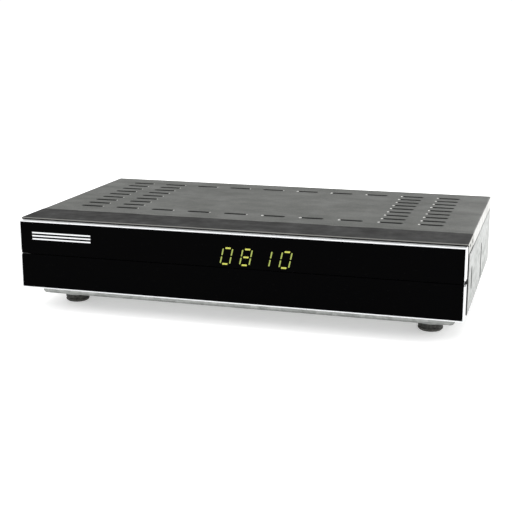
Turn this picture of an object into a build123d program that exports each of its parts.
"""Set-top hard-disk video recorder: low sheet-steel case, gloss front with a fold-down flap.

Millimetres.  +X is to the right seen from the front, +Y to the back, +Z up.
The origin is on the standing surface, at the middle of the outline's width and depth.
"""
import os
from math import cos, radians, sin, tan

from build123d import *

os.makedirs("parts", exist_ok=True)

# ---- driving dimensions -------------------------------------------------------------
width = 280.0              # over the side walls
depth = 160.0              # front face to the back of the cover
height = 60.0              # standing surface to the top of the cover
connector_reach = 10.0     # aerial connectors behind the cover
sheet = 1.0                # steel sheet of tray, cover and rear panel
board = 1.6                # printed circuit boards
half = width / 2
front_y = -(depth + connector_reach) / 2
back_y = front_y + depth
tip_y = back_y + connector_reach

# base tray: a pan sunk below two ledges, with a side wall on each ledge
pan_width, pan_corner = 266.0, 3.0
pan_front_y, pan_back_y = front_y + 13.6, back_y - 3
pan_z, ledge_z = 8.2, 16.0
floor_z = pan_z + sheet
wall_front_y, wall_top_z = front_y + 12.5, height - 8.2
flange_front_y, flange_width = front_y + 31, 6.0

# feet
foot_x, foot_front_y, foot_back_y = 116.8, front_y + 32.6, back_y - 27
foot_r, foot_cup_r, foot_cup_z = 7.65, 8.2, 5.0
feet_xy = [(sx * foot_x, y) for sx in (-1, 1) for y in (foot_front_y, foot_back_y)]

# top cover
cover_front_y, lip_z = front_y + 34, height - 7.4
slot_length, slot_width, slot_pitch_x, slot_rows = 15.0, 3.0, 25.0, 9
slot_first_y, slot_last_y = front_y + 51.5, front_y + 142.5

# front end: levels counted back from the front face
glass_y, glass_back_y, plate_back_y = front_y + 0.1, front_y + 1.3, front_y + 2.8
trim_half, glass_half, trim_depth = 139.6, 138.7, 7.0
glass_top_z, trim_top_z = height - 2, height - 1.3
seam_z, seam_gap = 37.5, 0.4
flap_bottom_z, glass_bottom_z = 15.3, 16.0
notch_z0, notch_z1 = 36.2, 39.6          # finger notches where the flap's side rims end
front_wall_y, front_wall = front_y + 9.5, 2.0
bezel_half, hood_half, hood, hood_front_y = 137.5, 139.9, 1.2, front_y + 4
hinge_y, hinge_z, hinge_pin_r, running_gap = front_y + 5, 19.0, 1.0, 0.06
ear_in, ear_out = 133.2, 135.6

# display
digit_height, digit_width, digit_pitch, digit_slant = 9.6, 5.85, 12.2, 12.5    # between segment middles
digit_first_x, digit_middle_z, segment_width, segment_bar = -1.95, 44.8, 0.95, 3.9
display_x0, display_x1, display_z0, display_z1 = -10.0, 43.0, 38.4, 51.4
front_board_y = front_y + 18

# behind the flap
button_z, button_r, button_travel = 28.0, 4.5, 0.8
button_gap = 0.3
buttons_x = {"power_button": -118.0, "channel_down_button": -98.0, "channel_up_button": -84.0}
ci_x0, ci_x1, ci_z0, ci_z1 = 47.0, 105.0, 24.6, 34.0
ci_back_y, ci_wall = -5.0, 0.8
eject_x, eject_travel, eject_arm = 108.5, 6.0, 12.0
card_x0, card_x1, card_z = -42.0, 14.0, 24.0
front_usb_x, front_usb_z = 121.0, 28.0

# inside
standoff = 6.4
board_z = floor_z + standoff
deck_z = board_z + board
main_x0, main_x1, main_y0, main_y1 = -63.0, 128.0, -56.0, 69.0
main_notch_x, main_notch_y = 41.0, 22.0
power_x0, power_x1, power_y0, power_y1 = -129.0, -72.0, -50.0, 66.0
rear_y = back_y - 2 * sheet        # inner face of the rear panel
disk_x0, disk_x1, disk_y0, disk_y1, disk_z, disk_height = -66.0, 34.0, -54.0, 16.0, 34.0, 9.5
spindle, platter_r, platter_z = (-31.0, -19.0), 31.5, 38.3
arm_pivot, arm_length, arm_rest = (14.0, -42.0), 44.0, 111.0


def block(x0, x1, y0, y1, z0, z1, mode=Mode.ADD):
    """A box between two corners."""
    with Locations(((x0 + x1) / 2, (y0 + y1) / 2, (z0 + z1) / 2)):
        return Box(x1 - x0, y1 - y0, z1 - z0, mode=mode)


def upright(y):
    """Plane at depth y whose sketch axes are X and Z; a negative extrude goes back."""
    return Plane((0, y, 0), x_dir=(1, 0, 0), z_dir=(0, -1, 0))


def endwise(x):
    """Plane at x whose sketch axes are Y and Z; a positive extrude goes to +X."""
    return Plane((x, 0, 0), x_dir=(0, 1, 0), z_dir=(1, 0, 0))


def disc(x, y, z0, z1, radius, mode=Mode.ADD):
    """An upright cylinder between two heights."""
    with Locations((x, y, (z0 + z1) / 2)):
        return Cylinder(radius, z1 - z0, mode=mode)


def rod_y(x, z, y0, y1, radius, mode=Mode.ADD):
    """A cylinder along Y between two depths."""
    with Locations((x, (y0 + y1) / 2, z)):
        return Cylinder(radius, y1 - y0, rotation=(90, 0, 0), mode=mode)


def rod_x(y, z, x0, x1, radius, mode=Mode.ADD):
    """A cylinder along X between two ends."""
    with Locations(((x0 + x1) / 2, y, z)):
        return Cylinder(radius, abs(x1 - x0), rotation=(0, 90, 0), mode=mode)


# ---- case -------------------------------------------------------------------------
board_posts = [(-124, -44), (-77, -44), (-124, 58), (-77, 61.5), (-56, 30), (-50, 52.5),
               (44.8, -50), (90, -50), (124, 30), (30, 40)]
side_vents = [(front_y + 95, 17.5, 24.0), (front_y + 31, 26.5, 14.5)]     # y, bottom z, height
side_vent_width = 5.0

with BuildPart() as base_tray:
    pan_depth = pan_back_y - pan_front_y
    pan_mid = (0, (pan_front_y + pan_back_y) / 2)
    with BuildSketch(Plane.XY.offset(pan_z)):
        with Locations(pan_mid):
            RectangleRounded(pan_width, pan_depth, pan_corner)
    extrude(amount=ledge_z - pan_z)
    fillet(base_tray.faces().sort_by(Axis.Z)[0].edges(), 2.2)
    block(-half, half, wall_front_y, back_y - sheet, ledge_z, ledge_z + sheet)
    with BuildSketch(Plane.XY.offset(floor_z)):
        with Locations(pan_mid):
            RectangleRounded(pan_width - 2 * sheet, pan_depth - 2 * sheet, pan_corner - sheet)
    extrude(amount=ledge_z + sheet - floor_z, mode=Mode.SUBTRACT)
    for side in (-1, 1):
        outer, inner = side * half, side * (half - sheet)
        block(min(outer, inner), max(outer, inner), wall_front_y, back_y - sheet, ledge_z, wall_top_z)
        edge = side * (half - flange_width)
        block(min(outer, edge), max(outer, edge), flange_front_y, rear_y, wall_top_z - sheet, wall_top_z)
        for y in (-30, 12, 54):
            disc(side * (half - 3), y, wall_top_z, lip_z, 1.8)
        for vent_y, vent_z, vent_height in side_vents:
            with BuildSketch(endwise(side * half)):
                with Locations((vent_y, vent_z + vent_height / 2)):
                    SlotOverall(vent_height, side_vent_width, rotation=90)
            extrude(amount=2, both=True, mode=Mode.SUBTRACT)
    for x, y in feet_xy:
        disc(x, y, foot_cup_z, pan_z + sheet / 2, foot_cup_r)
    for x, y in feet_xy:
        disc(x, y, foot_cup_z + sheet, floor_z, foot_cup_r - sheet, Mode.SUBTRACT)
        disc(x, y, foot_cup_z, floor_z, 2.6, Mode.SUBTRACT)
    with BuildSketch(Plane.XY.offset(pan_z)):
        with Locations((-20, -18), (84, 0)):
            with GridLocations(5.5, 26, 9, 2):
                SlotOverall(20, 2.2, rotation=90)
    extrude(amount=sheet, mode=Mode.SUBTRACT)
base_tray.part.label = "base_tray"
export_step(base_tray.part, "parts/base_tray.step")

with BuildPart() as top_cover:
    block(-half, half, cover_front_y, back_y, height - sheet, height)
    block(-half, half, back_y - sheet, back_y, lip_z, height)
    for side in (-1, 1):
        outer, inner, edge = side * half, side * (half - sheet), side * (half - flange_width)
        block(min(outer, inner), max(outer, inner), cover_front_y, back_y, lip_z, height)
        block(min(outer, edge), max(outer, edge), cover_front_y, rear_y, lip_z, lip_z + sheet)
    top_bends = top_cover.edges().filter_by(Axis.Y).group_by(Axis.Z)[-1]
    fillet(top_bends, 0.9)
    slot_step = (slot_last_y - slot_first_y) / (slot_rows - 1)
    with BuildSketch(Plane.XY.offset(height - sheet)):
        for column in range(10):
            x = (column - 4.5) * slot_pitch_x
            outer_column = abs(x) > 3 * slot_pitch_x
            rows = range(slot_rows) if outer_column else (0, slot_rows - 1)
            with Locations(*[(x, slot_first_y + row * slot_step) for row in rows]):
                SlotOverall(slot_length, slot_width)
    extrude(amount=sheet, mode=Mode.SUBTRACT)
    slot_rims = top_cover.edges().group_by(Axis.Z)[-1].filter_by(
        lambda e: e.center().X ** 2 < (half - 3) ** 2
        and cover_front_y + 2 < e.center().Y < back_y - 2)
    chamfer(slot_rims, 0.45)
    for x in (-118, 0, 118):
        rod_y(x, 56.2, back_y - sheet, back_y, 1.6, Mode.SUBTRACT)
top_cover.part.label = "top_cover"
export_step(top_cover.part, "parts/top_cover.step")

# openings in the rear panel: name -> (x, z, width, height)
rear_cutouts = {
    "hdmi": (76, 20.5, 16.4, 6.6), "network": (57.3, 23.8, 16.8, 14.2), "usb": (40, 20.6, 14.2, 7.4),
    "scart": (4, 26.0, 48.6, 16.4), "optical": (-57.6, 22.4, 10.4, 10.4),
    "switch": (-85, 29, 14.2, 20.2), "inlet": (-115, 29, 21.2, 16.2)}
aerial_x, aerial_z = (118.0, 98.0), 27.0
phono_x, phono_z = (-47.0, -36.5, -26.0), 24.0

with BuildPart() as rear_panel:
    with BuildSketch(upright(rear_y)):
        with Locations((0, (ledge_z + height) / 2)):
            Rectangle(2 * (half - sheet) - 0.2, height - ledge_z - 2 * sheet)
        for x, z, w, h in rear_cutouts.values():
            with Locations((x, z)):
                Rectangle(w, h, mode=Mode.SUBTRACT)
        with Locations(*[(x, aerial_z) for x in aerial_x]):
            Circle(5.4, mode=Mode.SUBTRACT)
        with Locations(*[(x, phono_z) for x in phono_x]):
            Circle(4.6, mode=Mode.SUBTRACT)
        with Locations((20, 46)):
            with GridLocations(7, 1, 24, 1):
                SlotOverall(9, 2.4, rotation=90, mode=Mode.SUBTRACT)
        with Locations(*[(x, 56.2) for x in (-118, 0, 118)]):
            Circle(1.5, mode=Mode.SUBTRACT)
    extrude(amount=-sheet)
    block(-132, 132, rear_y - 7, rear_y, height - 2 * sheet, height - sheet)
    for side in (-1, 1):
        outer, inner = side * (half - sheet - 0.1), side * (half - 2 * sheet - 0.1)
        block(min(outer, inner), max(outer, inner), rear_y - 8, rear_y, ledge_z + sheet, wall_top_z - 1.4)
rear_panel.part.label = "rear_panel"
export_step(rear_panel.part, "parts/rear_panel.step")

with BuildPart() as rubber_feet:
    for x, y in feet_xy:
        with BuildSketch(Plane.XZ.offset(-y)):
            with BuildLine():
                Polyline((x, 0), (x + foot_r - 1, 0), (x + foot_r, 1), (x + foot_r, 1.9),
                         (x + foot_r - 0.6, 2.2), (x + foot_r - 0.6, 2.6), (x + foot_r, 2.9),
                         (x + foot_r, foot_cup_z - 0.4), (x + foot_r - 0.4, foot_cup_z), (x + 2.4, foot_cup_z),
                         (x + 2.4, foot_cup_z + 1.1), (x + 4, foot_cup_z + 1.1), (x + 1.5, floor_z), (x, floor_z),
                         close=True)
            make_face()
        revolve(axis=Axis((x, y, 0), (0, 0, 1)))
rubber_feet.part.label = "rubber_feet"
export_step(rubber_feet.part, "parts/rubber_feet.step")

# ---- front end ----------------------------------------------------------------------
trim_bosses = [(-125, 48), (-70, 48), (76, 48), (125, 48)]
board_bosses = [(-128, 52), (66, 52.5), (-128, 23)]
sensor_x, lamp_x, eye_z = 62.0, 54.0, 46.0

with BuildPart() as front_bezel:
    block(-hood_half, hood_half, hood_front_y, cover_front_y, height - hood, height)
    block(-130, 130, cover_front_y - 8, cover_front_y + 5, height - 2.8, height - hood)
    with BuildSketch(upright(front_wall_y)):
        with Locations((0, (ledge_z + sheet + height - hood) / 2)):
            Rectangle(2 * bezel_half, height - hood - ledge_z - sheet)
        with Locations(((display_x0 + display_x1) / 2, (display_z0 + display_z1) / 2)):
            Rectangle(display_x1 - display_x0 + 1, display_z1 - display_z0 + 1, mode=Mode.SUBTRACT)
        with Locations((sensor_x, eye_z), (lamp_x, eye_z)):
            Circle(2.6, mode=Mode.SUBTRACT)
        with Locations(*[(x, button_z) for x in buttons_x.values()]):
            Circle(button_r + button_gap, mode=Mode.SUBTRACT)
        with Locations(((ci_x0 + ci_x1) / 2, (ci_z0 + ci_z1) / 2)):
            Rectangle(ci_x1 - ci_x0 - 2 * ci_wall, ci_z1 - ci_z0 - 2 * ci_wall, mode=Mode.SUBTRACT)
        with Locations((eject_x + 1.2, 31)):
            Rectangle(7.2, 9.2, mode=Mode.SUBTRACT)
        with Locations(((card_x0 + card_x1) / 2, card_z)):
            Rectangle(card_x1 - card_x0, 2.2, mode=Mode.SUBTRACT)
        with Locations((front_usb_x, front_usb_z)):
            Rectangle(14.0, 6.6, mode=Mode.SUBTRACT)
    extrude(amount=-front_wall)
    block(-bezel_half, bezel_half, front_wall_y, front_y + 20, ledge_z + sheet, ledge_z + sheet + 2)
    for side in (-1, 1):
        inner, outer = sorted((side * (bezel_half - 2), side * bezel_half))
        block(inner, outer, front_wall_y, front_y + 30, ledge_z + sheet, height - hood)
        inner, outer = sorted((side * (hood_half - hood), side * hood_half))
        block(inner, outer, front_y + 7.5, cover_front_y, height - 7, height - hood)
        with BuildSketch(endwise(side * (hood_half + 1))):
            with Locations((front_y + 29, height - 3.4)):
                Ellipse(2.2, 1.3)
            with Locations((front_y + 16, height - 3.2)):
                Rectangle(4.4, 1.5)
        extrude(amount=-side * 3, mode=Mode.SUBTRACT)
        inner, outer = sorted((side * ear_in, side * ear_out))
        with BuildSketch(endwise(inner)):
            with Locations((hinge_y, hinge_z)):
                Circle(2.0)
            with Locations(((hinge_y + front_wall_y) / 2, hinge_z)):
                Rectangle(front_wall_y - hinge_y, 4.0)
            with Locations((hinge_y, hinge_z)):
                Circle(hinge_pin_r + running_gap, mode=Mode.SUBTRACT)
        extrude(amount=outer - inner)
    for x, z in board_bosses:
        rod_y(x, z, front_wall_y + front_wall, front_board_y, 2.6)
        rod_y(x, z, front_wall_y + front_wall + 1, front_board_y, 1.4, Mode.SUBTRACT)
    hood_edge = front_bezel.edges().filter_by(Axis.X).filter_by(
        lambda e: abs(e.center().Y - hood_front_y) < 0.01 and abs(e.center().Z - height) < 0.01)
    fillet(hood_edge, 0.5)
front_bezel.part.label = "front_bezel"
export_step(front_bezel.part, "parts/front_bezel.step")

with BuildPart() as trim_frame:
    top_half_z = seam_z + seam_gap / 2
    block(-trim_half, trim_half, front_y, front_y + trim_depth, top_half_z, trim_top_z)
    upper_corners = trim_frame.edges().filter_by(Axis.Y).group_by(Axis.Z)[-1]
    fillet(upper_corners, 1.2)
    block(-glass_half, glass_half, front_y, glass_back_y, top_half_z, glass_top_z, Mode.SUBTRACT)
    block(-glass_half, glass_half, plate_back_y, front_y + trim_depth, top_half_z, glass_top_z, Mode.SUBTRACT)
    block(display_x0 - 0.3, display_x1 + 0.3, glass_back_y, plate_back_y, display_z0 - 0.3, display_z1 + 0.3,
          Mode.SUBTRACT)
    for x in (sensor_x, lamp_x):
        rod_y(x, eye_z, glass_back_y, plate_back_y, 2.8, Mode.SUBTRACT)
    for side in (-1, 1):
        inner, outer = sorted((side * glass_half, side * trim_half))
        block(inner, outer, front_y, front_y + trim_depth, top_half_z, notch_z1, Mode.SUBTRACT)
    for x, z in trim_bosses:
        rod_y(x, z, plate_back_y, front_wall_y, 3.0)
trim_frame.part.label = "trim_frame"
export_step(trim_frame.part, "parts/trim_frame.step")

with BuildPart() as front_window:
    with BuildSketch(upright(glass_y)):
        with Locations((0, (top_half_z + glass_top_z) / 2)):
            Rectangle(2 * glass_half, glass_top_z - top_half_z)
    extrude(amount=-(glass_back_y - glass_y))
    fillet(front_window.edges().filter_by(Axis.Y).group_by(Axis.Z)[-1], 0.8)
front_window.part.label = "front_window"
export_step(front_window.part, "parts/front_window.step")

flap_top_z = seam_z - seam_gap / 2
with BuildPart() as flap_frame:
    block(-trim_half, trim_half, front_y, front_y + trim_depth, flap_bottom_z, flap_top_z)
    lower_corners = flap_frame.edges().filter_by(Axis.Y).group_by(Axis.Z)[0]
    fillet(lower_corners, 1.2)
    block(-glass_half, glass_half, front_y, glass_back_y, glass_bottom_z, flap_top_z, Mode.SUBTRACT)
    block(-glass_half, glass_half, plate_back_y, front_y + trim_depth, flap_bottom_z, flap_top_z, Mode.SUBTRACT)
    for side in (-1, 1):
        inner, outer = sorted((side * glass_half, side * trim_half))
        block(inner, outer, front_y, front_y + trim_depth, notch_z0, flap_top_z, Mode.SUBTRACT)
        inner, outer = sorted((side * 136.0, side * (glass_half + 0.4)))
        with BuildSketch(endwise(inner)):
            with Locations((hinge_y, hinge_z)):
                Circle(2.6)
            with Locations(((hinge_y + plate_back_y) / 2, hinge_z)):
                Rectangle(hinge_y - plate_back_y, 5.2)
        extrude(amount=outer - inner)
        rod_x(hinge_y, hinge_z, side * (ear_in + 0.4), side * 136.4, hinge_pin_r)
flap_frame.part.label = "flap_frame"
export_step(flap_frame.part, "parts/flap_frame.step")

with BuildPart() as flap_panel:
    with BuildSketch(upright(glass_y)):
        with Locations((0, (glass_bottom_z + flap_top_z) / 2)):
            Rectangle(2 * glass_half, flap_top_z - glass_bottom_z)
    extrude(amount=-(glass_back_y - glass_y))
    fillet(flap_panel.edges().filter_by(Axis.Y).group_by(Axis.Z)[0], 0.8)
flap_panel.part.label = "flap_panel"
export_step(flap_panel.part, "parts/flap_panel.step")

with BuildPart() as flap_striker:
    block(18, 30, plate_back_y, plate_back_y + 0.8, 30.5, 35.5)
flap_striker.part.label = "flap_striker"
export_step(flap_striker.part, "parts/flap_striker.step")

with BuildPart() as flap_magnet:
    block(18, 30, plate_back_y + 1.1, front_wall_y, 30.5, 35.5)
    chamfer(flap_magnet.faces().sort_by(Axis.Y)[0].edges(), 0.5)
flap_magnet.part.label = "flap_magnet"
export_step(flap_magnet.part, "parts/flap_magnet.step")

# ---- display and front board ------------------------------------------------------------
lean = tan(radians(digit_slant))


def segment_outline(name):
    """Corners of one bar of a digit about the digit's middle, upright, with its ends cut back."""
    s, cut = segment_width / 2, 0.25
    across = {"a": digit_height / 2, "g": 0, "d": -digit_height / 2}
    if name in across:
        x, z, half_x, half_z = 0, across[name], segment_bar / 2, s
    else:
        x = digit_width / 2 * (1 if name in "bc" else -1)
        z = digit_height / 4 * (1 if name in "bf" else -1)
        half_x, half_z = s, digit_height / 4 - 0.25
    return [(x + dx, z + dz) for dx, dz in (
        (-half_x + cut, half_z), (half_x - cut, half_z), (half_x, half_z - cut), (half_x, cut - half_z),
        (half_x - cut, -half_z), (cut - half_x, -half_z), (-half_x, cut - half_z), (-half_x, half_z - cut))]


with BuildPart() as display_segments:
    with BuildSketch(upright(glass_back_y + 0.2)):
        for digit in range(4):
            for name in "abcdefg":
                corners = [(digit_first_x + digit * digit_pitch + x + z * lean, digit_middle_z + z)
                           for x, z in segment_outline(name)]
                Polygon(*corners, align=None)
    extrude(amount=-0.6)
display_segments.part.label = "display_segments"
export_step(display_segments.part, "parts/display_segments.step")

with BuildPart() as display_module:
    module_front_y = glass_back_y + 0.8
    block(display_x0, display_x1, module_front_y, front_wall_y - 0.5, display_z0, display_z1)
    block(display_x0 + 2, display_x1 - 2, front_wall_y - 0.5, front_board_y - 3, display_z0 + 2, display_z1 - 2)
    for x in range(-4, 40, 6):
        for z in (display_z0 + 3, display_z1 - 3):
            rod_y(x, z, front_board_y - 3.2, front_board_y, 0.4)
display_module.part.label = "display_module"
export_step(display_module.part, "parts/display_module.step")

with BuildPart() as front_board:
    with BuildSketch(upright(front_board_y)):
        with Locations((-32, 46.5)):
            Rectangle(200, 19)
        with Locations((-103, 29)):
            Rectangle(58, 18)
        with Locations(*board_bosses):
            Circle(1.6, mode=Mode.SUBTRACT)
    extrude(amount=-board)
front_board.part.label = "front_board"
export_step(front_board.part, "parts/front_board.step")

with BuildPart() as infrared_receiver:
    block(sensor_x - 3.4, sensor_x + 3.4, front_wall_y + front_wall + 1, front_board_y, eye_z - 3.4, eye_z + 3.4)
    rod_y(sensor_x, eye_z, plate_back_y - 1, front_wall_y + front_wall + 1, 2.3)
infrared_receiver.part.label = "infrared_receiver"
export_step(infrared_receiver.part, "parts/infrared_receiver.step")

with BuildPart() as standby_lamp:
    rod_y(lamp_x, eye_z, plate_back_y - 0.8, front_wall_y + 1, 1.5)
    rod_y(lamp_x, eye_z, front_wall_y + 1, front_wall_y + 2, 1.9)
    for dx in (-1.27, 1.27):
        block(lamp_x + dx - 0.25, lamp_x + dx + 0.25, front_wall_y + 1.5, front_board_y, eye_z - 0.25, eye_z + 0.25)
standby_lamp.part.label = "standby_lamp"
export_step(standby_lamp.part, "parts/standby_lamp.step")

switch_front_y = front_wall_y + front_wall + 1 + button_travel + 0.2
with BuildPart() as button_switches:
    for x in buttons_x.values():
        block(x - 3, x + 3, switch_front_y + 1, front_board_y, button_z - 3, button_z + 3)
        rod_y(x, button_z, switch_front_y, switch_front_y + 1.2, 1.7)
button_switches.part.label = "button_switches"
export_step(button_switches.part, "parts/button_switches.step")


def button_cap(x, radius, dish):
    """A round key with a retaining flange behind the front wall, inside an open part."""
    rod_y(x, button_z, front_y + 6, front_wall_y + front_wall + 0.1, radius)
    rod_y(x, button_z, front_wall_y + front_wall + 0.1, front_wall_y + front_wall + 1, radius + 1.2)
    with Locations((x, front_y + 6 - dish, button_z)):
        Sphere(dish + 0.5, mode=Mode.SUBTRACT)


with BuildPart() as power_button:
    button_cap(buttons_x["power_button"], button_r, 9.0)
power_button.part.label = "power_button"
export_step(power_button.part, "parts/power_button.step")

with BuildPart() as channel_down_button:
    button_cap(buttons_x["channel_down_button"], button_r, 9.0)
channel_down_button.part.label = "channel_down_button"
export_step(channel_down_button.part, "parts/channel_down_button.step")

with BuildPart() as channel_up_button:
    button_cap(buttons_x["channel_up_button"], button_r, 9.0)
channel_up_button.part.label = "channel_up_button"
export_step(channel_up_button.part, "parts/channel_up_button.step")

# ---- main board and what stands on it ------------------------------------------------------
with BuildPart() as board_standoffs:
    for x, y in board_posts:
        with BuildSketch(Plane.XY.offset(floor_z)):
            with Locations((x, y)):
                RegularPolygon(2.8, 6)
        extrude(amount=standoff)
board_standoffs.part.label = "board_standoffs"
export_step(board_standoffs.part, "parts/board_standoffs.step")

with BuildPart() as board_screws:
    for x, y in board_posts:
        disc(x, y, deck_z, deck_z + 1.8, 2.8)
        disc(x, y, board_z, deck_z, 1.45)
    with BuildSketch(Plane.XY.offset(deck_z + 0.9)):
        with Locations(*board_posts):
            Rectangle(3.4, 0.7)
            Rectangle(0.7, 3.4)
    extrude(amount=0.9, mode=Mode.SUBTRACT)
board_screws.part.label = "board_screws"
export_step(board_screws.part, "parts/board_screws.step")

with BuildPart() as main_board:
    with BuildSketch(Plane.XY.offset(board_z)):
        with BuildLine():
            Polyline((main_x0, main_notch_y), (main_notch_x, main_notch_y), (main_notch_x, main_y0),
                     (main_x1, main_y0), (main_x1, main_y1), (main_x0, main_y1), close=True)
        make_face()
        with Locations(*board_posts[4:]):
            Circle(1.6, mode=Mode.SUBTRACT)
    extrude(amount=board)
main_board.part.label = "main_board"
export_step(main_board.part, "parts/main_board.step")

processor_mid, chip_height = (70.0, 21.0), 1.4
with BuildPart() as board_chips:
    with BuildSketch(Plane.XY.offset(deck_z)):
        with Locations(processor_mid):
            Rectangle(27, 27)
        with Locations((98, 12), (98, 27), (112, 12)):
            Rectangle(11, 13)
        with Locations((20, 34)):
            Rectangle(14, 14)
    extrude(amount=chip_height)
    chamfer(board_chips.faces().group_by(Axis.Z)[-1].edges(), 0.25)
board_chips.part.label = "board_chips"
export_step(board_chips.part, "parts/board_chips.step")

with BuildPart() as processor_heat_sink:
    sink_z = deck_z + chip_height
    with BuildSketch(Plane.XY.offset(sink_z)):
        with Locations(processor_mid):
            Rectangle(30, 30)
    extrude(amount=2.5)
    with BuildSketch(Plane.XY.offset(sink_z + 2.5)):
        with Locations(processor_mid):
            with GridLocations(3.6, 1, 9, 1):
                Rectangle(1.2, 30)
    extrude(amount=11)
processor_heat_sink.part.label = "processor_heat_sink"
export_step(processor_heat_sink.part, "parts/processor_heat_sink.step")

with BuildPart() as board_capacitors:
    for x, y, radius, tall in ((115, -2, 4, 12), (123, 8, 3, 9), (123, 18, 3, 9), (-50, 44, 4, 12),
                               (-42, 30, 3, 9), (0, 34, 3, 9), (44, 30, 4, 12)):
        disc(x, y, deck_z, deck_z + tall, radius)
board_capacitors.part.label = "board_capacitors"
export_step(board_capacitors.part, "parts/board_capacitors.step")

with BuildPart() as tuner_cans:
    for x in aerial_x:
        block(x - 9.4, x + 9.4, 38, rear_y, deck_z, 36.5)
        for hole_y in (46, 54, 62):
            disc(x, hole_y, 36.1, 36.5, 2.2, Mode.SUBTRACT)
tuner_cans.part.label = "tuner_cans"
export_step(tuner_cans.part, "parts/tuner_cans.step")

with BuildPart() as aerial_connectors:
    for x in aerial_x:
        with BuildSketch(upright(rear_y)):
            with Locations((x, aerial_z)):
                Circle(4.76)
                Circle(2.6, mode=Mode.SUBTRACT)
        extrude(amount=-(tip_y - rear_y))
        with BuildSketch(upright(back_y - sheet)):
            with Locations((x, aerial_z)):
                RegularPolygon(6.6, 6)
                Circle(4.76, mode=Mode.SUBTRACT)
        extrude(amount=-2)
        with BuildSketch(upright(rear_y)):
            with Locations((x, aerial_z)):
                Circle(2.6)
                Circle(0.6, mode=Mode.SUBTRACT)
        extrude(amount=-(tip_y - rear_y - 1.5))
aerial_connectors.part.label = "aerial_connectors"
export_step(aerial_connectors.part, "parts/aerial_connectors.step")

panel_y = back_y - sheet          # outer face of the rear panel
socket_y = panel_y + 0.4          # mouths of the sockets

with BuildPart() as hdmi_socket:
    x, z = rear_cutouts["hdmi"][:2]
    block(x - 7.6, x + 7.6, 60, socket_y, deck_z, z + 2.9)
    with BuildSketch(upright(socket_y)):
        with BuildLine():
            Polyline((x - 7.0, z + 2.3), (x + 7.0, z + 2.3), (x + 7.0, z - 0.3), (x + 5.4, z - 2.2),
                     (x - 5.4, z - 2.2), (x - 7.0, z - 0.3), close=True)
        make_face()
    extrude(amount=9, mode=Mode.SUBTRACT)
    block(x - 5.2, x + 5.2, 65, socket_y - 1, z - 0.3, z + 0.7)
hdmi_socket.part.label = "hdmi_socket"
export_step(hdmi_socket.part, "parts/hdmi_socket.step")

with BuildPart() as network_socket:
    x, z = rear_cutouts["network"][:2]
    block(x - 8, x + 8, 54, socket_y, deck_z, z + 6.7)
    block(x - 5.9, x + 5.9, 62, socket_y, z - 4.4, z + 3.0, Mode.SUBTRACT)
    block(x - 3, x + 3, 62, socket_y, z + 3.0, z + 5.0, Mode.SUBTRACT)
    with Locations((x, 64.5, z - 3.9)):
        with GridLocations(1.25, 1, 8, 1):
            Box(0.4, 7, 1.0)
network_socket.part.label = "network_socket"
export_step(network_socket.part, "parts/network_socket.step")

with BuildPart() as usb_socket:
    x, z = rear_cutouts["usb"][:2]
    block(x - 6.7, x + 6.7, 58, socket_y, deck_z, z + 3.3)
    block(x - 6.1, x + 6.1, 62, socket_y, z - 2.5, z + 2.5, Mode.SUBTRACT)
    block(x - 5.2, x + 5.2, 61, socket_y - 1, z + 0.2, z + 1.9)
usb_socket.part.label = "usb_socket"
export_step(usb_socket.part, "parts/usb_socket.step")

with BuildPart() as front_usb_socket:
    x, z = front_usb_x, front_usb_z
    mouth_y = front_wall_y + 0.4
    block(x - 6.7, x + 6.7, mouth_y, -50, z - 3.1, z + 3.1)
    block(x - 6.1, x + 6.1, mouth_y, -62, z - 2.5, z + 2.5, Mode.SUBTRACT)
    block(x - 5.2, x + 5.2, mouth_y + 1, -61, z + 0.2, z + 1.9)
    block(x - 5, x + 5, -55, -50, deck_z, z - 3.1)
front_usb_socket.part.label = "front_usb_socket"
export_step(front_usb_socket.part, "parts/front_usb_socket.step")

with BuildPart() as scart_socket:
    x, z = rear_cutouts["scart"][:2]
    block(x - 24, x + 24, 58, rear_y, deck_z, z + 9)
    with BuildSketch(upright(rear_y)):
        with BuildLine():
            Polyline((x - 23.6, z + 7.5), (x + 23.6, z + 7.5), (x + 23.6, z - 3.5), (x + 19.6, z - 7.5),
                     (x - 23.6, z - 7.5), close=True)
        make_face()
    extrude(amount=-(back_y + 1.5 - rear_y))
    with BuildSketch(upright(back_y + 1.5)):
        with BuildLine():
            Polyline((x - 22.4, z + 6.3), (x + 22.4, z + 6.3), (x + 22.4, z - 3.0), (x + 19.1, z - 6.3),
                     (x - 22.4, z - 6.3), close=True)
        make_face()
        with Locations((x, z + 0.4)):
            Rectangle(39, 7.2, mode=Mode.SUBTRACT)
    extrude(amount=8, mode=Mode.SUBTRACT)
    with BuildSketch(upright(back_y + 1.5)):
        with Locations((x, z + 0.4)):
            with GridLocations(3.6, 3.6, 10, 2):
                Rectangle(1.0, 2.4)
    extrude(amount=6, mode=Mode.SUBTRACT)
scart_socket.part.label = "scart_socket"
export_step(scart_socket.part, "parts/scart_socket.step")

phono_end_y = panel_y + 8.5
with BuildPart() as phono_sockets:
    block(phono_x[0] - 5.2, phono_x[-1] + 5.2, 58, rear_y, deck_z, phono_z + 7)
    for x in phono_x:
        rod_y(x, phono_z, rear_y, phono_end_y, 4.15)
        rod_y(x, phono_z, rear_y, socket_y, 4.45)
        rod_y(x, phono_z, rear_y + 1, phono_end_y, 3.5, Mode.SUBTRACT)
        rod_y(x, phono_z, rear_y, phono_end_y - 1, 2.6)
        rod_y(x, phono_z, rear_y, phono_end_y, 1.6, Mode.SUBTRACT)
phono_sockets.part.label = "phono_sockets"
export_step(phono_sockets.part, "parts/phono_sockets.step")

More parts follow.
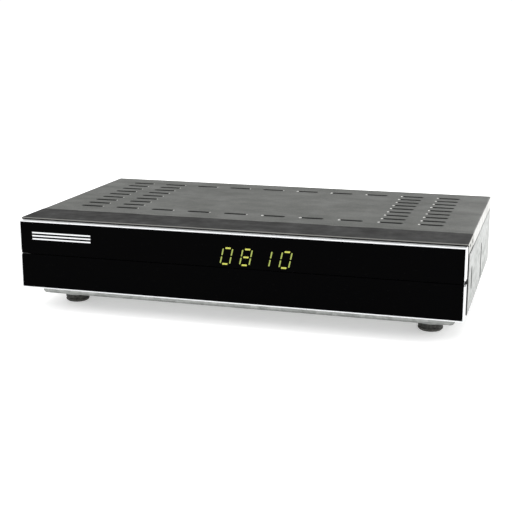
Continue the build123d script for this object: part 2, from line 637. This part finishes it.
with BuildPart() as optical_socket:
    x, z = rear_cutouts["optical"][:2]
    block(x - 4.9, x + 4.9, 60, socket_y, deck_z, z + 4.9)
    block(x - 3.0, x + 3.0, socket_y - 1.2, socket_y, z - 3.0, z + 3.0, Mode.SUBTRACT)
optical_socket.part.label = "optical_socket"
export_step(optical_socket.part, "parts/optical_socket.step")

# ---- card slots behind the flap ----------------------------------------------------------------
lever_z0, lever_z1, lever_y0, lever_y1 = ci_z1 + 0.2, ci_z1 + 1.4, -15.0, -10.0
lever_pivot = (eject_x - eject_arm, (lever_y0 + lever_y1) / 2)

with BuildPart() as ci_cage:
    cage_front_y = front_wall_y + front_wall
    block(ci_x0, ci_x1, cage_front_y, ci_back_y, ci_z0, ci_z1)
    block(ci_x0 + ci_wall, ci_x1 - ci_wall, cage_front_y, ci_back_y - 4, ci_z0 + ci_wall, ci_z1 - ci_wall,
          Mode.SUBTRACT)
    block(72, 84, -27, -9, ci_z1 - ci_wall, ci_z1, Mode.SUBTRACT)
    for x in (ci_x0 + 3, ci_x1 - 3):
        for y in (-50, ci_back_y - 3):
            disc(x, y, deck_z, ci_z0, 1.6)
    disc(*lever_pivot, ci_z1, lever_z1 + 0.2, 1.5)
    disc(*lever_pivot, lever_z1 + 0.2, lever_z1 + 1.0, 2.6)
ci_cage.part.label = "ci_cage"
export_step(ci_cage.part, "parts/ci_cage.step")

with BuildPart() as ci_eject_button:
    block(eject_x - 1.5, eject_x + 4.0, front_y + 4.2, front_wall_y + 3.4, 27.0, 35.0)
    fillet(ci_eject_button.faces().sort_by(Axis.Y)[0].edges(), 0.6)
    block(eject_x - 1.5, eject_x + 1.5, front_wall_y + 3, lever_y0 - 1.8, 29.0, lever_z1)
    disc(eject_x, lever_y0 - 1.8, 29.0, lever_z1, 1.5)
ci_eject_button.part.label = "ci_eject_button"
export_step(ci_eject_button.part, "parts/ci_eject_button.step")

with BuildPart() as ci_eject_lever:
    with BuildSketch(Plane.XY.offset(lever_z0)):
        with Locations((92.5, lever_pivot[1])):
            SlotOverall(37, lever_y1 - lever_y0)
        with Locations(lever_pivot):
            Circle(1.5 + running_gap, mode=Mode.SUBTRACT)
    extrude(amount=lever_z1 - lever_z0)
    block(76, 78, lever_pivot[1] - 1, lever_pivot[1] + 1, ci_z0 + 3.4, lever_z0 + 0.4)
ci_eject_lever.part.label = "ci_eject_lever"
export_step(ci_eject_lever.part, "parts/ci_eject_lever.step")

with BuildPart() as card_reader:
    block(card_x0 - 4, card_x1 + 4, front_wall_y + front_wall, -28, card_z - 2.6, card_z + 2.4)
    block(card_x0 + 0.6, card_x1 - 0.6, front_wall_y + front_wall, -31, card_z - 0.6, card_z + 0.6, Mode.SUBTRACT)
    for x in (card_x0, card_x1):
        for y in (-59, -33):
            disc(x, y, floor_z, card_z - 2.6, 2.5)
card_reader.part.label = "card_reader"
export_step(card_reader.part, "parts/card_reader.step")

# ---- power supply ---------------------------------------------------------------------------------
with BuildPart() as power_board:
    with BuildSketch(Plane.XY.offset(board_z)):
        with Locations(((power_x0 + power_x1) / 2, (power_y0 + power_y1) / 2)):
            Rectangle(power_x1 - power_x0, power_y1 - power_y0)
        with Locations(*board_posts[:4]):
            Circle(1.6, mode=Mode.SUBTRACT)
        with Locations((-100, -40)):
            SlotOverall(30, 2, mode=Mode.SUBTRACT)
    extrude(amount=board)
power_board.part.label = "power_board"
export_step(power_board.part, "parts/power_board.step")

with BuildPart() as transformer:
    block(-104, -78, -10, 14, deck_z + 3, deck_z + 23)
    for y0, y1 in ((-7, -3.5), (7.5, 11)):
        block(-104, -78, y0, y1, deck_z + 6, deck_z + 20, Mode.SUBTRACT)
    block(-107, -75, -6, 10, deck_z, deck_z + 3.5)
    with BuildSketch(Plane.XY.offset(deck_z + 6.2)):
        with Locations((-91, 2)):
            RectangleRounded(30, 17.6, 5)
    extrude(amount=13.6)
transformer.part.label = "transformer"
export_step(transformer.part, "parts/transformer.step")

with BuildPart() as power_capacitors:
    for x, y, radius, tall in ((-117, 10, 9, 27), (-121, -30, 5, 18), (-109, -30, 5, 18), (-121, -13, 5, 18)):
        disc(x, y, deck_z, deck_z + tall, radius)
        with BuildSketch(Plane.XY.offset(deck_z + tall - 0.4)):
            with Locations((x, y)):
                Rectangle(radius * 1.3, 0.4)
                Rectangle(0.4, radius * 1.3)
        extrude(amount=0.4, mode=Mode.SUBTRACT)
power_capacitors.part.label = "power_capacitors"
export_step(power_capacitors.part, "parts/power_capacitors.step")

with BuildPart() as power_fuse:
    rod_x(31, deck_z + 5, -121, -101, 2.6)
    for x in (-119, -103):
        block(x - 2.4, x + 2.4, 27.6, 34.4, deck_z, deck_z + 5.6)
power_fuse.part.label = "power_fuse"
export_step(power_fuse.part, "parts/power_fuse.step")

with BuildPart() as mains_choke:
    block(-96, -78, 24, 36, deck_z, deck_z + 2.4)
    for x in (-92, -82):
        rod_y(x, deck_z + 9.5, 25.5, 34.5, 4.6)
    block(-94, -80, 29, 31, deck_z + 2.4, deck_z + 16)
mains_choke.part.label = "mains_choke"
export_step(mains_choke.part, "parts/mains_choke.step")

with BuildPart() as power_heat_sink:
    block(-104, -76, -23, -20.5, deck_z, 44)
    block(-104, -76, -20.5, -16, 41.5, 44)
    block(-96, -86, -28, -23, deck_z + 5, deck_z + 20)
power_heat_sink.part.label = "power_heat_sink"
export_step(power_heat_sink.part, "parts/power_heat_sink.step")

with BuildPart() as mains_inlet:
    x, z = rear_cutouts["inlet"][:2]
    block(x - 10.4, x + 10.4, 58, panel_y, z - 7.9, z + 7.9)
    with BuildSketch(upright(panel_y)):
        with Locations((x, z)):
            RectangleRounded(25, 19, 2.5)
    extrude(amount=-1.6)
    with BuildSketch(upright(panel_y + 1.6)):
        with Locations((x, z)):
            SlotOverall(16.4, 8.4)
    extrude(amount=13.6, mode=Mode.SUBTRACT)
    for dx in (-4.3, 4.3):
        rod_y(x + dx, z, 53, panel_y - 1, 1.2)
mains_inlet.part.label = "mains_inlet"
export_step(mains_inlet.part, "parts/mains_inlet.step")

rocker_y, rocker_tilt, rocker_half = 70.0, 8.0, 5.2
with BuildPart() as mains_switch:
    x, z = rear_cutouts["switch"][:2]
    block(x - 7, x + 7, 57, panel_y, z - 10, z + 10)
    with BuildSketch(upright(panel_y)):
        with Locations((x, z)):
            RectangleRounded(17, 23, 1.2)
    extrude(amount=-1.5)
    block(x - 5.6, x + 5.6, 62, panel_y + 1.5, z - 9, z + 9, Mode.SUBTRACT)
    rod_x(rocker_y, z, x - 6.6, x + 6.6, 1.2 + running_gap, Mode.SUBTRACT)
    for dz in (-6, 0, 6):
        block(x - 2.4, x + 2.4, 52, 57, z + dz - 0.4, z + dz + 0.4)
mains_switch.part.label = "mains_switch"
export_step(mains_switch.part, "parts/mains_switch.step")



def leaned(y_offset, z_offset):
    """A point of the rocker's section, leaned about its pivot."""
    a = radians(-rocker_tilt)
    return rocker_y + y_offset * cos(a) - z_offset * sin(a), z + y_offset * sin(a) + z_offset * cos(a)


with BuildPart() as mains_rocker:
    with BuildSketch(endwise(x - rocker_half)):
        with BuildLine():
            Polyline(leaned(6.2, 7.6), leaned(3.6, 7.6), leaned(-3, 4), leaned(-3, -4), leaned(3.6, -7.6),
                     leaned(6.2, -7.6))
            ThreePointArc(leaned(6.2, -7.6), leaned(5.2, 0), leaned(6.2, 7.6))
        make_face()
    extrude(amount=2 * rocker_half)
    rod_x(rocker_y, z, x - 6.4, x + 6.4, 1.2)
mains_rocker.part.label = "mains_rocker"
export_step(mains_rocker.part, "parts/mains_rocker.step")

# ---- hard disk ----------------------------------------------------------------------------------------
disk_top = disk_z + disk_height
cavity_z = disk_z + 2.2
disk_holes = [(disk_x0 + 10, disk_y0 + 4.2), (disk_x0 + 10, disk_y1 - 4.2),
              (disk_x1 - 13, disk_y0 + 4.2), (disk_x1 - 13, disk_y1 - 4.2)]

with BuildPart() as disk_bracket:
    block(disk_x0 - 2, disk_x1 + 2, disk_y0 + 1, disk_y1 - 1, disk_z - sheet, disk_z)
    for x, edge in ((disk_x0 - 2, -1), (disk_x1 + 1, 1)):
        block(x, x + sheet, disk_y0 + 1, disk_y1 - 1, floor_z, disk_z)
        foot = sorted((x + (sheet if edge < 0 else 0), x + sheet / 2 - edge * 7))
        for y0, y1 in ((disk_y0 + 1, disk_y0 + 15), (disk_y1 - 15, disk_y1 - 1)):
            block(*foot, y0, y1, floor_z, floor_z + sheet)
    block(disk_x0 + 22, disk_x1 - 22, disk_y0 + 16, disk_y1 - 16, disk_z - sheet, disk_z, Mode.SUBTRACT)
    for x, y in disk_holes:
        disc(x, y, disk_z - sheet, disk_z, 1.7, Mode.SUBTRACT)
disk_bracket.part.label = "disk_bracket"
export_step(disk_bracket.part, "parts/disk_bracket.step")

with BuildPart() as disk_base:
    with BuildSketch(Plane.XY.offset(disk_z)):
        with Locations(((disk_x0 + disk_x1) / 2, (disk_y0 + disk_y1) / 2)):
            RectangleRounded(disk_x1 - disk_x0, disk_y1 - disk_y0, 2)
    extrude(amount=disk_height - 0.8)
    with BuildSketch(Plane.XY.offset(cavity_z)):
        with Locations(spindle):
            Circle(platter_r + 0.9)
        with Locations(((disk_x1 - 2 + spindle[0]) / 2, spindle[1])):
            RectangleRounded(disk_x1 - 2 - spindle[0], disk_y1 - disk_y0 - 4, 3)
    extrude(amount=disk_height, mode=Mode.SUBTRACT)
    disc(*spindle, cavity_z, disk_top - 1.4, 2.5)
    disc(*arm_pivot, cavity_z, disk_top - 1.4, 2.0)
    for x, y in disk_holes:
        disc(x, y, disk_z, disk_z + 1.6, 1.5, Mode.SUBTRACT)
disk_base.part.label = "disk_base"
export_step(disk_base.part, "parts/disk_base.step")

with BuildPart() as disk_lid:
    with BuildSketch(Plane.XY.offset(disk_top - 0.8)):
        with Locations(((disk_x0 + disk_x1) / 2, (disk_y0 + disk_y1) / 2)):
            RectangleRounded(disk_x1 - disk_x0 - 1, disk_y1 - disk_y0 - 1, 2)
    extrude(amount=0.8)
    for x, y in disk_holes:
        disc(x, y, disk_top - 0.4, disk_top, 2.2, Mode.SUBTRACT)
disk_lid.part.label = "disk_lid"
export_step(disk_lid.part, "parts/disk_lid.step")

with BuildPart() as disk_platter:
    disc(*spindle, platter_z, platter_z + 0.8, platter_r)
    disc(*spindle, cavity_z + 0.4, platter_z + 2.2, 10.0)
    disc(*spindle, cavity_z, disk_top, 2.5 + running_gap, Mode.SUBTRACT)
    with BuildSketch(Plane.XY.offset(platter_z + 1.6)):
        with Locations(spindle):
            with PolarLocations(6.6, 6):
                Circle(1.0)
    extrude(amount=0.6, mode=Mode.SUBTRACT)
disk_platter.part.label = "disk_platter"
export_step(disk_platter.part, "parts/disk_platter.step")

arm_z = platter_z + 1.3
with BuildPart() as disk_arm:
    arm_plane = Plane((*arm_pivot, arm_z), x_dir=(cos(radians(arm_rest)), sin(radians(arm_rest)), 0))
    with BuildSketch(arm_plane):
        with BuildLine():
            Polyline((-8.5, -4.5), (0, -3.6), (arm_length - 10, -1.6), (arm_length, -0.8), (arm_length, 0.8),
                     (arm_length - 10, 1.6), (0, 3.6), (-8.5, 4.5), close=True)
        make_face()
        Circle(4.6)
    extrude(amount=0.7)
    disc(*arm_pivot, cavity_z + 0.4, arm_z + 1.6, 4.6)
    disc(*arm_pivot, cavity_z, disk_top, 2.0 + running_gap, Mode.SUBTRACT)
disk_arm.part.label = "disk_arm"
export_step(disk_arm.part, "parts/disk_arm.step")

# ---- cables held inside ---------------------------------------------------------------------------------
ribbon_x0, ribbon_x1, ribbon_z = 50.0, 64.0, 45.0
with BuildPart() as front_ribbon:
    block(ribbon_x0 - 1, ribbon_x1 + 1, front_board_y + board, front_board_y + board + 3, ribbon_z - 2.5,
          ribbon_z + 2.5)
    block(ribbon_x0 - 1, ribbon_x1 + 1, -2.5, 2.5, deck_z, deck_z + 6)
    with BuildSketch(endwise(ribbon_x0)):
        with BuildLine() as ribbon_route:
            FilletPolyline((front_board_y + board + 2, ribbon_z), (0, ribbon_z), (0, deck_z + 5), radius=10)
        trace(ribbon_route.line, line_width=0.9)
    extrude(amount=ribbon_x1 - ribbon_x0)
front_ribbon.part.label = "front_ribbon"
export_step(front_ribbon.part, "parts/front_ribbon.step")

with BuildPart() as disk_cable:
    block(disk_x1, disk_x1 + 4, -30, -8, disk_z + 1, disk_z + 6)
    block(41.6, 45.6, -30, -8, deck_z, deck_z + 6)
    with BuildSketch(upright(-28)):
        with BuildLine() as disk_route:
            FilletPolyline((disk_x1 + 3, disk_z + 3.5), (43.6, disk_z + 3.5), (43.6, deck_z + 5), radius=4)
        trace(disk_route.line, line_width=1.2)
    extrude(amount=-18)
disk_cable.part.label = "disk_cable"
export_step(disk_cable.part, "parts/disk_cable.step")

with BuildPart() as power_cable:
    block(-79, -75, 42, 56, deck_z, deck_z + 7)
    block(-61, -57, 42, 56, deck_z, deck_z + 7)
    for y in (44, 47.3, 50.6, 53.9):
        with BuildLine() as power_route:
            FilletPolyline((-77, y, deck_z + 6), (-77, y, 33), (-59, y, 33), (-59, y, deck_z + 6), radius=6)
        with BuildSketch(Plane((-77, y, deck_z + 6))):
            Circle(0.75)
        sweep(path=power_route.line)
power_cable.part.label = "power_cable"
export_step(power_cable.part, "parts/power_cable.step")

with BuildPart() as mains_wires:
    for x, start_y, z in ((-119.3, 53.0, 29.0), (-110.7, 53.0, 29.0)):
        with BuildLine() as mains_route:
            FilletPolyline((x, start_y, z), (x, 43, z), (x, 43, deck_z + 5), radius=4.5)
        with BuildSketch(Plane((x, start_y, z), z_dir=(0, -1, 0))):
            Circle(1.1)
        sweep(path=mains_route.line)
    block(-122, -108, 40.5, 45.5, deck_z, deck_z + 6)
mains_wires.part.label = "mains_wires"
export_step(mains_wires.part, "parts/mains_wires.step")

# ---- fasteners -----------------------------------------------------------------------------------------------
with BuildPart() as cover_screws:
    for x in (-118, 0, 118):
        rod_y(x, 56.2, back_y, back_y + 1.6, 3.0)
        rod_y(x, 56.2, back_y - 5, back_y, 1.4)
        with BuildSketch(upright(back_y + 1.6)):
            with Locations((x, 56.2)):
                Rectangle(3.6, 0.8)
                Rectangle(0.8, 3.6)
        extrude(amount=0.9, mode=Mode.SUBTRACT)
cover_screws.part.label = "cover_screws"
export_step(cover_screws.part, "parts/cover_screws.step")

with BuildPart() as disk_screws:
    for x, y in disk_holes:
        disc(x, y, disk_z - sheet - 1.6, disk_z - sheet, 2.8)
        disc(x, y, disk_z - sheet, disk_z + 1.4, 1.4)
disk_screws.part.label = "disk_screws"
export_step(disk_screws.part, "parts/disk_screws.step")

with BuildPart() as front_board_screws:
    for x, z in board_bosses:
        rod_y(x, z, front_board_y + board, front_board_y + board + 1.6, 2.6)
        rod_y(x, z, front_wall_y + front_wall + 1, front_board_y + board, 1.35)
front_board_screws.part.label = "front_board_screws"
export_step(front_board_screws.part, "parts/front_board_screws.step")
